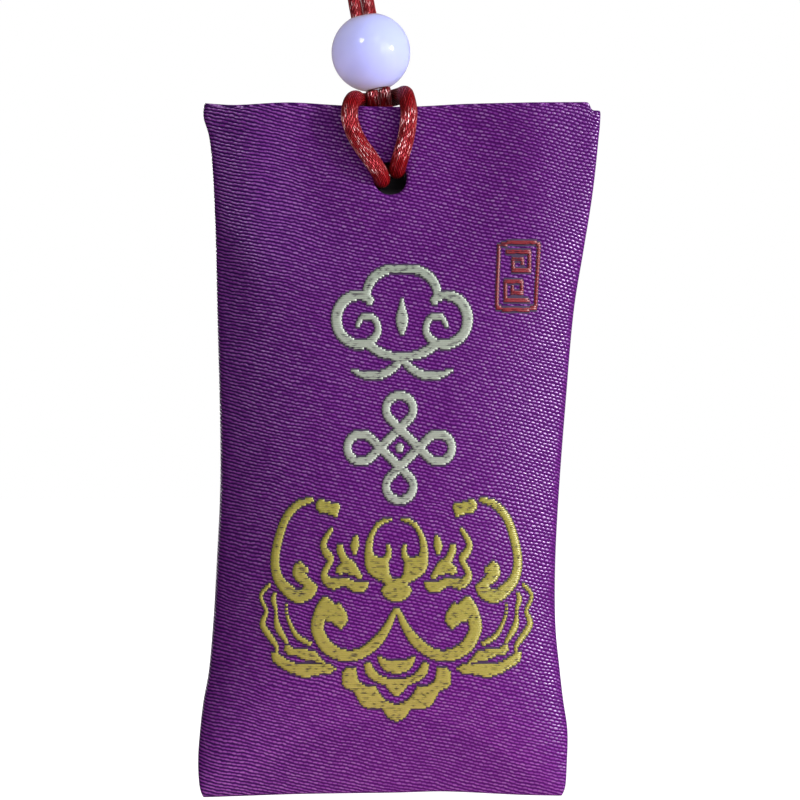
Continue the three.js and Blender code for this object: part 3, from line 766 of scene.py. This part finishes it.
def makeBag():
    points, index, quads = bagGrid()
    faces = [tuple(index[key] for key in quad) for quad in quads]
    points = inflate(points, index, faces)
    columns, rows = pouch["columns"], pouch["rows"]
    thread = {}
    for face in (-1, 1):  # thread coordinates run along the cloth, so the weave isn't stretched at the sides
        start = pouch["backThread"] if face > 0 else 0
        for j in range(rows + 1):
            row = [points[index[face, i, j]] for i in range(columns + 1)]
            run = [0]
            for a, b in zip(row, row[1:]):
                run.append(run[-1] + (b - a).length)
            for i in range(columns + 1):
                thread[face, i, j] = (run[i] - run[columns // 2] + start, row[i].z)
    for (face, i, j), n in index.items():
        if 0 < i < columns and j > 0:
            points[n].y -= face * hollow(points[n].x, points[n].z, face)
    uv = [thread[key] for quad in quads for key in quad]
    obj = newObject("satinPouch", [at(*p) for p in points], faces, satin, uv)
    work = bmesh.new()
    work.from_mesh(obj.data)
    punch(work)
    turnIn(work)
    work.to_mesh(obj.data)
    work.free()
    obj.data.shade_smooth()
    finer = obj.modifiers.new("finer", "SUBSURF")
    finer.levels = finer.render_levels = 1
    smooth = bpy.data.meshes.new_from_object(obj.evaluated_get(bpy.context.evaluated_depsgraph_get()))
    obj.modifiers.clear()
    obj.data = smooth
    return obj


bag = makeBag()
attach(bag, "pouch")
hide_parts("front_panel", "back_panel")
print(f"pouch made, {len(bag.data.polygons)} faces")

for node, material in (("amulet_card", cardStock), ("seam_thread", sewingThread)):
    materials = frame["nodes"][node].data.materials
    materials.clear()
    materials.append(material)

bagTree = BVHTree.FromPolygons([v.co for v in bag.data.vertices], [p.vertices for p in bag.data.polygons])
outside = 40  # mm, from where a ray meets the cloth from without


def clothAt(x, z, face=-1):  # place and outward direction on the pouch's front or back
    spot, outward = bagTree.ray_cast(at(x, face * outside, z), Vector((0, -face, 0)))[:2]
    if spot is None:
        return None, None
    return spot, outward if outward.y * face > 0 else -outward


# lining and filling, which follow the satin on its inside
# the lining's holes are small and close round the cord, so that its black sheet fills the punched hole with
# painted shade
lining = {
    "top": 8.6, "bottom": -73, "side": 3, "under": 0.55, "columns": 36, "rows": 60, "flatWidth": 42,
    "hole": 1.75, "holeRight": -0.2, "frontLift": 0.5, "backLift": punched["backLift"] + 0.6,
}
filling = {
    "top": -20, "bottom": -69, "side": 5.5, "under": 1.1, "columns": 20, "rows": 26,
    "inner": 0.75, "steep": 9,  # how soon a pad reaches its full depth from its edge
}


def underCloth(setup, face):  # a grid of places on one face of the pouch, with their shares across and up
    rows, columns = setup["rows"], setup["columns"]
    for j in range(rows + 1):
        z = setup["bottom"] + (setup["top"] - setup["bottom"]) * j / rows
        left, right = edgesAt(z)
        low, high = left + setup["side"], right - setup["side"]
        for i in range(columns + 1):
            x = low + (high - low) * i / columns
            spot = clothAt(x, z, face)[0]
            y = (spot.y - hole.y) / mm if spot else face  # in the hole there is no cloth to follow
            yield x, y, z, i / columns, j / rows


def gridFaces(columns, rows, start=0):
    wide = columns + 1
    corners = [start + j * wide + i for j in range(rows) for i in range(columns)]
    return [(n, n + 1, n + wide + 1, n + wide) for n in corners]


def makeLining(face, side):
    points = [(x, y - face * lining["under"], z) for x, y, z, across, up in underCloth(lining, face)]
    kept = []
    for quad in gridFaces(lining["columns"], lining["rows"]):
        x, z = (sum(points[n][k] for n in quad) / 4 for k in (0, 2))
        if math.hypot(x - lining["holeRight"], z - lining[f"{side}Lift"]) > lining["hole"]:
            kept.append(quad)
    sheet = newObject(f"{side}Interlining", [at(*p) for p in points], kept, interliningFelt)
    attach(sheet, "pouch")
    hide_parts(f"{side}_interlining")


def makeFilling(face, side):
    inner, steep = face * filling["inner"], filling["steep"]
    outer = []
    for x, y, z, across, up in underCloth(filling, face):
        full = min(1, steep * across * (1 - across), steep * up * (1 - up)) ** 0.5
        outer.append((x, inner + (y - face * filling["under"] - inner) * full, z))
    flat = [(x, inner, z) for x, y, z in outer]
    columns, rows = filling["columns"], filling["rows"]
    faces = gridFaces(columns, rows) + [quad[::-1] for quad in gridFaces(columns, rows, len(outer))]
    pad = newObject(f"{side}Wadding", [at(*p) for p in outer + flat], faces, waddingFibre)
    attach(pad, "pouch")
    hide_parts(f"{side}_wadding")


for face, side in ((-1, "front"), (1, "back")):
    makeLining(face, side)
    makeFilling(face, side)
print("lining and filling made")


# woven ornament: where an extra weft shows on the face it is a raised strip along its row
weft = {
    "pitch": 0.24, "overlap": 0.54, "rise": 0.15, "lift": 0.05, "clear": 0.02, "step": 0.4, "slope": 0.15,
    "tooth": 0.16, "least": 0.28, "spare": 5, "close": 0.02, "shadeMargin": 0.05, "jitter": 0.02,
    "parted": 0.2, "narrow": (0.2, 0.5),  # how many places let the ground through, and how thin they are
    "ridge": [(-1, 0.84), (-0.5, 0.97), (0, 1), (0.5, 0.97), (1, 0.84)], "flat": [(-1, 0), (1, 0)],
    "strokeStep": 0.12, "ruledStep": 0.1,
}


def spansOf(mark, z):  # where a drawn mark crosses a row: outlines have (x, z) points, strokes (x, z, width)
    if len(mark[0]) == 2:
        cuts = sorted(
            x0 + (z - z0) / (z1 - z0) * (x1 - x0)
            for (x0, z0), (x1, z1) in zip(mark, mark[1:] + mark[:1]) if (z0 <= z) != (z1 <= z)
        )
        return list(zip(cuts[::2], cuts[1::2]))
    spans = []
    for x, level, width in mark:
        reach = width ** 2 / 4 - (z - level) ** 2
        if reach > 0:
            spans.append((x - math.sqrt(reach), x + math.sqrt(reach)))
    return spans


def merged(spans):
    joined = []
    for low, high in sorted(spans):
        if joined and low <= joined[-1][1] + weft["close"]:
            joined[-1][1] = max(joined[-1][1], high)
        else:
            joined.append([low, high])
    return joined


def motifRows(marks, mirrored):  # row number to spans; every other weft is bound sooner, for a toothed edge
    levels = [p[1] / weft["pitch"] for mark in marks for p in mark]
    rows = {}
    for number in range(math.floor(min(levels)) - weft["spare"], math.ceil(max(levels)) + weft["spare"]):
        z = (number + 0.5) * weft["pitch"]
        spans = [span for mark in marks for span in spansOf(mark, z)]
        if mirrored:
            spans += [(-high, -low) for low, high in spans]
        short = weft["tooth"] / 2 * (number % 2)
        least = weft["least"] + 2 * short
        rows[number] = [(low + short, high - short) for low, high in merged(spans) if high - low > least]
    return rows


def strip(points, faces, low, high, z, height, profile):
    inner = high - low - 2 * weft["slope"]
    count = max(1, round(inner / weft["step"]))
    stops = [(low, 0, 1)]
    narrow = 1
    for n in range(count + 1):
        if height:
            narrow = chance.uniform(*weft["narrow"]) if chance.random() < weft["parted"] else 1
        stops.append((low + weft["slope"] + inner * n / count, 1, narrow if 0 < n < count else 1))
    stops.append((high, 0, 1))
    base = weft["clear"] + (weft["lift"] if height else 0)
    half = weft["pitch"] * weft["overlap"]
    start = len(points)
    for x, up, share in stops:
        spot, outward = clothAt(x, z)
        if spot is None:
            continue
        across = outward.cross(Vector((1, 0, 0))).normalized()
        for offset, bulge in profile:
            raised = outward * (base + height * bulge * up)
            points.append(spot + (raised + across * (offset * half * share)) * mm)
    rings = (len(points) - start) // len(profile)
    faces += gridFaces(len(profile) - 1, rings - 1, start)


def weaveMotif(name, marks, centre, thread, mirrored=False):
    rows = motifRows(marks, mirrored)
    middle, level = centre
    threads, threadFaces, shadePoints, shadeFaces = [], [], [], []
    for number in sorted(rows):
        z = level + (number + 0.5) * weft["pitch"]
        for low, high in rows[number]:
            place = z + chance.uniform(-weft["jitter"], weft["jitter"])
            strip(threads, threadFaces, middle + low, middle + high, place, weft["rise"], weft["ridge"])
        # painted shade: under each row a flat dark sheet a little wider than the wefts around it
        near = [span for n in (number - 1, number, number + 1) for span in rows.get(n, [])]
        for low, high in merged([(low - weft["shadeMargin"], high + weft["shadeMargin"]) for low, high in near]):
            strip(shadePoints, shadeFaces, middle + low, middle + high, z, 0, weft["flat"])
    parts = (("", threads, threadFaces, thread), ("Binding", shadePoints, shadeFaces, motifShade))
    for part, points, faces, material in parts:
        obj = newObject(name + part, points, faces, material)
        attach(obj, "pouch")
    print(f"{name}: {len(threadFaces)} faces")


def drawn(strokes):
    return [smoothLine(stroke, weft["strokeStep"]) for stroke in strokes]


# gold lotus: half of it, as distances from its axis and heights from the scrolls' apex
lotusStrokes = [
    [(10.8, 14.1, 0.5), (12.5, 13.6, 0.9), (14.1, 11.9, 1), (15.1, 9.2, 1.1), (15.6, 6.3, 1.15),
     (15.1, 3.9, 1.3), (13.4, 2.1, 1.6), (12.2, 1.8, 1.55), (11.2, 2.2, 1.4), (10.6, 2.9, 1)],
    [(8.3, 10.4, 0.5), (9.3, 8.7, 0.8), (9.2, 7.7, 0.9), (8.7, 7, 1.05), (8.4, 6.4, 0.75),
     (9.2, 4.9, 0.8), (9.1, 4, 1.05), (8.1, 3.4, 1.35), (6.9, 3.7, 0.95), (6.2, 3.5, 1),
     (5.3, 3.05, 1.25), (4.4, 3.05, 1.2), (3.9, 3.4, 0.75)],
    [(10.2, -1.8, 1.5), (10.1, -2.7, 1.6), (9, -4.65, 1.65), (6.9, -5.8, 1.45), (4.7, -5.6, 1.3),
     (2.6, -4.1, 1.35), (1.2, -2.2, 1), (0.3, -0.3, 0.7), (0, 0, 0.55)],
    [(16.3, 3.2, 0.45), (17.3, 2.1, 0.5), (17.3, 1.2, 0.5), (16.7, -0.2, 0.5), (17.1, -1.3, 0.7),
     (17.1, -2.2, 0.8), (16, -3.8, 0.75), (15.4, -4.7, 0.55), (15.4, -5.5, 0.45)],
    [(15.4, 2.4, 0.2), (15.8, 1.4, 0.7), (15.5, 0.2, 0.5), (15.45, -0.6, 0.45), (15.4, -1.6, 0.7),
     (15.1, -2.5, 0.85), (14.1, -4.1, 0.5)],
    [(14.1, 0.9, 0.35), (14.1, -0.4, 0.42), (13.6, -1.9, 0.5), (12.8, -3.3, 0.62), (11.4, -4.2, 0.55),
     (10.9, -4.3, 0.25)],
]
lotusOutlines = [
    [(12.3, 6.4), (11.9, 5.8), (11.2, 5.3), (11.3, 4.85), (11.7, 4.65), (10.2, 3.05), (10.4, 2.5),
     (11.4, 2.1), (12.2, 2.7), (11.8, 3.1), (12.8, 3.7), (13.4, 4.6), (13.2, 5.7)],
    [(10.3, 13.8), (9.8, 14.2), (8, 13.7), (7.1, 13.5), (7.6, 11.9), (8.4, 12.3), (9.8, 12.5),
     (10.4, 13.2)],
    [(7.6, 8.5), (6.9, 8.5), (6.7, 7.7), (6.3, 6.8), (5.3, 6.1), (4.3, 4.3), (4.6, 3.9), (5.15, 4.2),
     (5.4, 4.65), (6.8, 4.7), (7.1, 4.5), (7.8, 4.85), (7.7, 5.5), (7.05, 6), (7.3, 6.7), (7.7, 7.6)],
    [(4.9, 9.9), (4.75, 8.3), (5.1, 7.3), (5.6, 7.3), (5.95, 8.2), (5.6, 9.3)],
    [(0.55, 11.75), (1.6, 11.75), (2.6, 11.2), (3.35, 10.05), (3.9, 8.8), (4.1, 7.3), (4.05, 5.8),
     (3.65, 4.85), (2.7, 4.15), (1.35, 3.4), (2.05, 2.65), (1.6, 1.8), (0.7, 1.25), (-0.1, 1.05),
     (-0.1, 4.05), (0.5, 4.15), (0.85, 4.6), (1, 6.3), (0.65, 6.8), (0.6, 7.8), (1, 8.7), (1.35, 8.45),
     (1.3, 7.45), (1.6, 6.85), (2.2, 6.7), (2.85, 7.1), (3.05, 7.8), (2.9, 9.4), (2.35, 10.55),
     (1.5, 11.25), (0.55, 11.5)],
    [(9.2, 1.85), (8.5, 1.4), (7.8, 0.7), (7.4, 1.1), (6.9, 0.4), (6.3, -0.5), (6.2, -1.4),
     (7.1, -2.45), (8.5, -1.4), (9.15, -1.3), (9.4, -2.6), (10.9, -2.6), (10.95, -1.4), (10.4, 0.3),
     (9.8, 1.3)],
    [(14.2, -4.3), (13.1, -5), (12.1, -5), (10.3, -5.4), (9.7, -6.2), (8.8, -7.1), (10.4, -6.6),
     (11.4, -6.55), (13, -5.8), (13.9, -5.75), (14.5, -5.1)],
    [(16.1, -5.6), (15.5, -5.4), (14.3, -6.25), (13.4, -6.8), (11.9, -6.95), (8.5, -7), (7.7, -7.55),
     (8.4, -8.05), (10.6, -8.4), (11.7, -8.7), (13.6, -8.1), (15.3, -7.1), (16, -6.5)],
    [(2.5, -5.75), (1.6, -6.25), (0.9, -6.5), (-0.1, -6.4), (-0.1, -8.2), (1.3, -7.9), (2, -7.25),
     (2.4, -6.4)],
    [(4.2, -7), (3.8, -6.7), (3.3, -6.75), (2.95, -7.5), (2.3, -8.25), (1.6, -8.7), (-0.1, -8.95),
     (-0.1, -11.2), (0.5, -10.85), (1, -10.35), (1.5, -9.65), (2.3, -9.35), (3.3, -8.85), (4, -8.1)],
    [(7, -8), (6.4, -7.45), (5.2, -7.3), (5.1, -8), (4.9, -9.1), (4.3, -9.6), (3.5, -9.9), (2.65, -9.9),
     (2.2, -10.7), (1.6, -11.5), (0.7, -12.05), (-0.1, -12.2), (-0.1, -14.35), (0.7, -14.2),
     (1.3, -13.7), (1.85, -12.75), (2.8, -12.6), (3.6, -12.75), (4.6, -12.2), (5.2, -11.1),
     (5.6, -10.35), (6.4, -10.1), (7, -9.6)],
]
weaveMotif("goldLotus", drawn(lotusStrokes) + lotusOutlines, (0.78, -55.6), goldThread, mirrored=True)

# silver scrolled cloud, half of it too
cloudStrokes = [
    [(0, 7, 0.9), (1.8, 6.9, 1.1), (3.6, 5.9, 1.2), (4.5, 4.2, 1.1), (4.2, 2.7, 0.8)],
    [(4, 3, 0.8), (5.6, 3.6, 1.1), (7.4, 2.9, 1.3), (8.4, 1, 1.4), (8, -1.2, 1.3), (6.3, -2.6, 1.2),
     (4.3, -2.5, 1.05), (3.1, -1.1, 0.9), (3.5, 0.5, 0.8), (4.9, 0.9, 0.7), (5.7, -0.2, 0.6)],
    [(4.6, -2.6, 1), (2.9, -3.7, 1.1), (1.4, -4.2, 0.95), (0, -4.3, 0.8)],
    [(0, 3.2, 0.35), (0, 1.9, 0.9), (0, 0.5, 1.6), (0, -0.6, 1.1), (0, -1.4, 0.4)],
    [(0, -4.4, 0.9), (0.9, -5.6, 0.95), (2.6, -6.6, 1), (4.8, -6.7, 0.8), (6.4, -6, 0.4)],
]
weaveMotif("silverCloud", drawn(cloudStrokes), (1.5, -18.8), silverThread, mirrored=True)

# silver four-looped knot under it: two runs each way, over and under, with a round loop at every corner
loopKnot = {"gap": 1.75, "loop": 1.75, "width": 1.05, "clear": 0.3, "arc": 15, "arcs": 18, "dot": 0.01}


def knotStrokes(setup):
    gap, loop = setup["gap"], setup["loop"]
    cut = setup["width"] / 2 + setup["clear"]
    end = gap + loop
    runs = [
        [(-end, gap), (-gap - cut, gap)], [(-gap + cut, gap), (end, gap)],
        [(-end, -gap), (gap - cut, -gap)], [(gap + cut, -gap), (end, -gap)],
        [(gap, -end), (gap, gap - cut)], [(gap, gap + cut), (gap, end)],
        [(-gap, -end), (-gap, -gap - cut)], [(-gap, -gap + cut), (-gap, end)],
    ]
    angles = [math.radians(-90 + setup["arc"] * n) for n in range(setup["arcs"] + 1)]
    arc = [(end + loop * math.cos(a), end + loop * math.sin(a)) for a in angles]
    for turn in range(4):
        c, s = math.cos(math.pi / 2 * turn), math.sin(math.pi / 2 * turn)
        runs.append([(x * c - y * s, x * s + y * c) for x, y in arc])
    runs.append([(-setup["dot"], 0), (setup["dot"], 0)])
    slant = math.sqrt(0.5)  # the whole knot stands on one corner
    return [[((x - y) * slant, (x + y) * slant, setup["width"]) for x, y in run] for run in runs]


weaveMotif("silverKnot", drawn(knotStrokes(loopKnot)), (1.2, -34.8), silverThread)

# red seal: a bowed frame round two square spirals
sealWidth = 0.48
sealLines = [
    [(-2.4, 3.9), (-1.2, 4.25), (0.4, 4.4), (2, 4.35), (2.75, 4.1), (2.6, 1.5), (2.4, -1.5), (2.3, -4),
     (1.2, -4.3), (-0.3, -4.35), (-1.8, -4.3), (-2.7, -4), (-2.65, -1.5), (-2.5, 1.5), (-2.4, 3.9)],
    [(-1.4, 3.2), (1.5, 3.2), (1.5, 0.7), (-0.6, 0.7), (-0.6, 2.2), (0.6, 2.2), (0.6, 1.5)],
    [(1.3, -3.2), (-1.6, -3.2), (-1.6, -0.7), (0.5, -0.7), (0.5, -2.2), (-0.7, -2.2), (-0.7, -1.5)],
]


def ruled(points, width):  # straight runs from point to point
    line = []
    for (x0, z0), (x1, z1) in zip(points, points[1:]):
        count = max(1, round(math.dist((x0, z0), (x1, z1)) / weft["ruledStep"]))
        line += [(x0 + (x1 - x0) * n / count, z0 + (z1 - z0) * n / count, width) for n in range(count + 1)]
    return line


weaveMotif("redSeal", [ruled(line, sealWidth) for line in sealLines], (16.4, -12.7), sealThread)


# stage: white floor out of the picture, which only the camera sees
stage = {"half": 2.5, "below": 26}  # metres, and millimetres under the pouch


def makeStage(setup):
    half, low = setup["half"], at(0, 0, pouch["base"] - setup["below"]).z
    corners = [(-half, -half, low), (half, -half, low), (half, half, low), (-half, half, low)]
    paint = {"Roughness": 0.9, "Emission Color": (1, 1, 1, 1), "Emission Strength": 1.0}
    white = simpleMaterial("white lit floor", "#606060", 0.01, paint)
    floor = newObject("floor", corners, [(0, 1, 2, 3)], white)
    floor.visible_diffuse = floor.visible_glossy = False


makeStage(stage)


def addLight(name, direction, distance, size, power, code="#ffffff", diffuse=True, glossy=True, only=()):
    data = bpy.data.lights.new(name, "AREA")
    data.shape = "DISK"
    data.size = size
    data.energy = power
    data.color = linear(code)[:3]
    lamp = bpy.data.objects.new(name, data)
    away = Vector(direction).normalized()
    lamp.location = viewMiddle + away * distance
    lamp.rotation_euler = away.to_track_quat("Z", "Y").to_euler()
    lamp.visible_camera = False
    lamp.visible_diffuse = diffuse
    lamp.visible_glossy = glossy
    scene.collection.objects.link(lamp)
    if only:
        group = bpy.data.collections.new(name)
        for piece in only:
            group.objects.link(piece)
        lamp.light_linking.receiver_collection = group


meshes = [piece for piece in scene.objects if piece.type == "MESH"]
cordPieces = [piece for piece in meshes if redCord.name in piece.data.materials]
# small and low at the right: the hard gleam down the right side and the bead's brighter spark
addLight("key", (0.89, -0.41, 0.22), 0.7, 0.08, 7.5)
# broad gloss on the right half of the cloth
addLight("window", (0.68, -0.7, 0.2), 0.8, 0.5, 3.7)
# from above: the bead's second spark, and the crests of the left and the upper right
addLight("frontLeft", (-0.43, -0.73, 0.54), 0.9, 0.2, 3)
addLight("frontRight", (0.24, -0.75, 0.62), 0.9, 0.2, 0.9)
# lifts the shade evenly, and pink light that a table throws up on the foot
addLight("fill", (-0.12, -0.83, 0.3), 0.9, 0.5, 0.5, glossy=False)
addLight("bounce", (0, -0.5, -0.86), 0.16, 0.2, 1.15, "#ffcfe2", glossy=False)
# the back, which only other views see
addLight("backLeft", (-0.1, 0.95, 0.3), 1, 0.6, 7, glossy=False)
addLight("backRight", (0.5, 0.8, 0.3), 1, 0.6, 6, glossy=False)
addLight("backSheen", (-0.4, 0.88, 0.25), 0.9, 0.4, 7, diffuse=False, only=[bag])
# brings out the cord's pink sheen, and opens the bead's shade side
addLight("cordLight", (0.05, -0.99, 0), 0.6, 0.2, 28, diffuse=False, only=cordPieces)
addLight("beadLight", (-0.5, -0.8, -0.2), 0.6, 0.4, 2, glossy=False, only=[beadBall])

# white to the camera, dim on the part and dimmer still in its gloss
surround = {"even": 0.23, "glossyLess": 0.15}
world = bpy.data.worlds.new("studio")
scene.world = world
world.use_nodes = True
tree = world.node_tree
tree.nodes.clear()
rays = addNode(tree, "LightPath").outputs
dim = addNode(tree, "Math", {0: rays["Is Glossy Ray"], 1: -surround["glossyLess"], 2: surround["even"]},
              operation="MULTIPLY_ADD")
soft = addNode(tree, "Background", {"Color": (1, 1, 1, 1), "Strength": dim})
white = addNode(tree, "Background", {"Color": (1, 1, 1, 1), "Strength": 1.0})
both = addNode(tree, "MixShader", {0: rays["Is Camera Ray"], 1: soft, 2: white})
addNode(tree, "OutputWorld", {"Surface": both})
scene.view_settings.view_transform = "Standard"
print("floor, lamps and surround made")
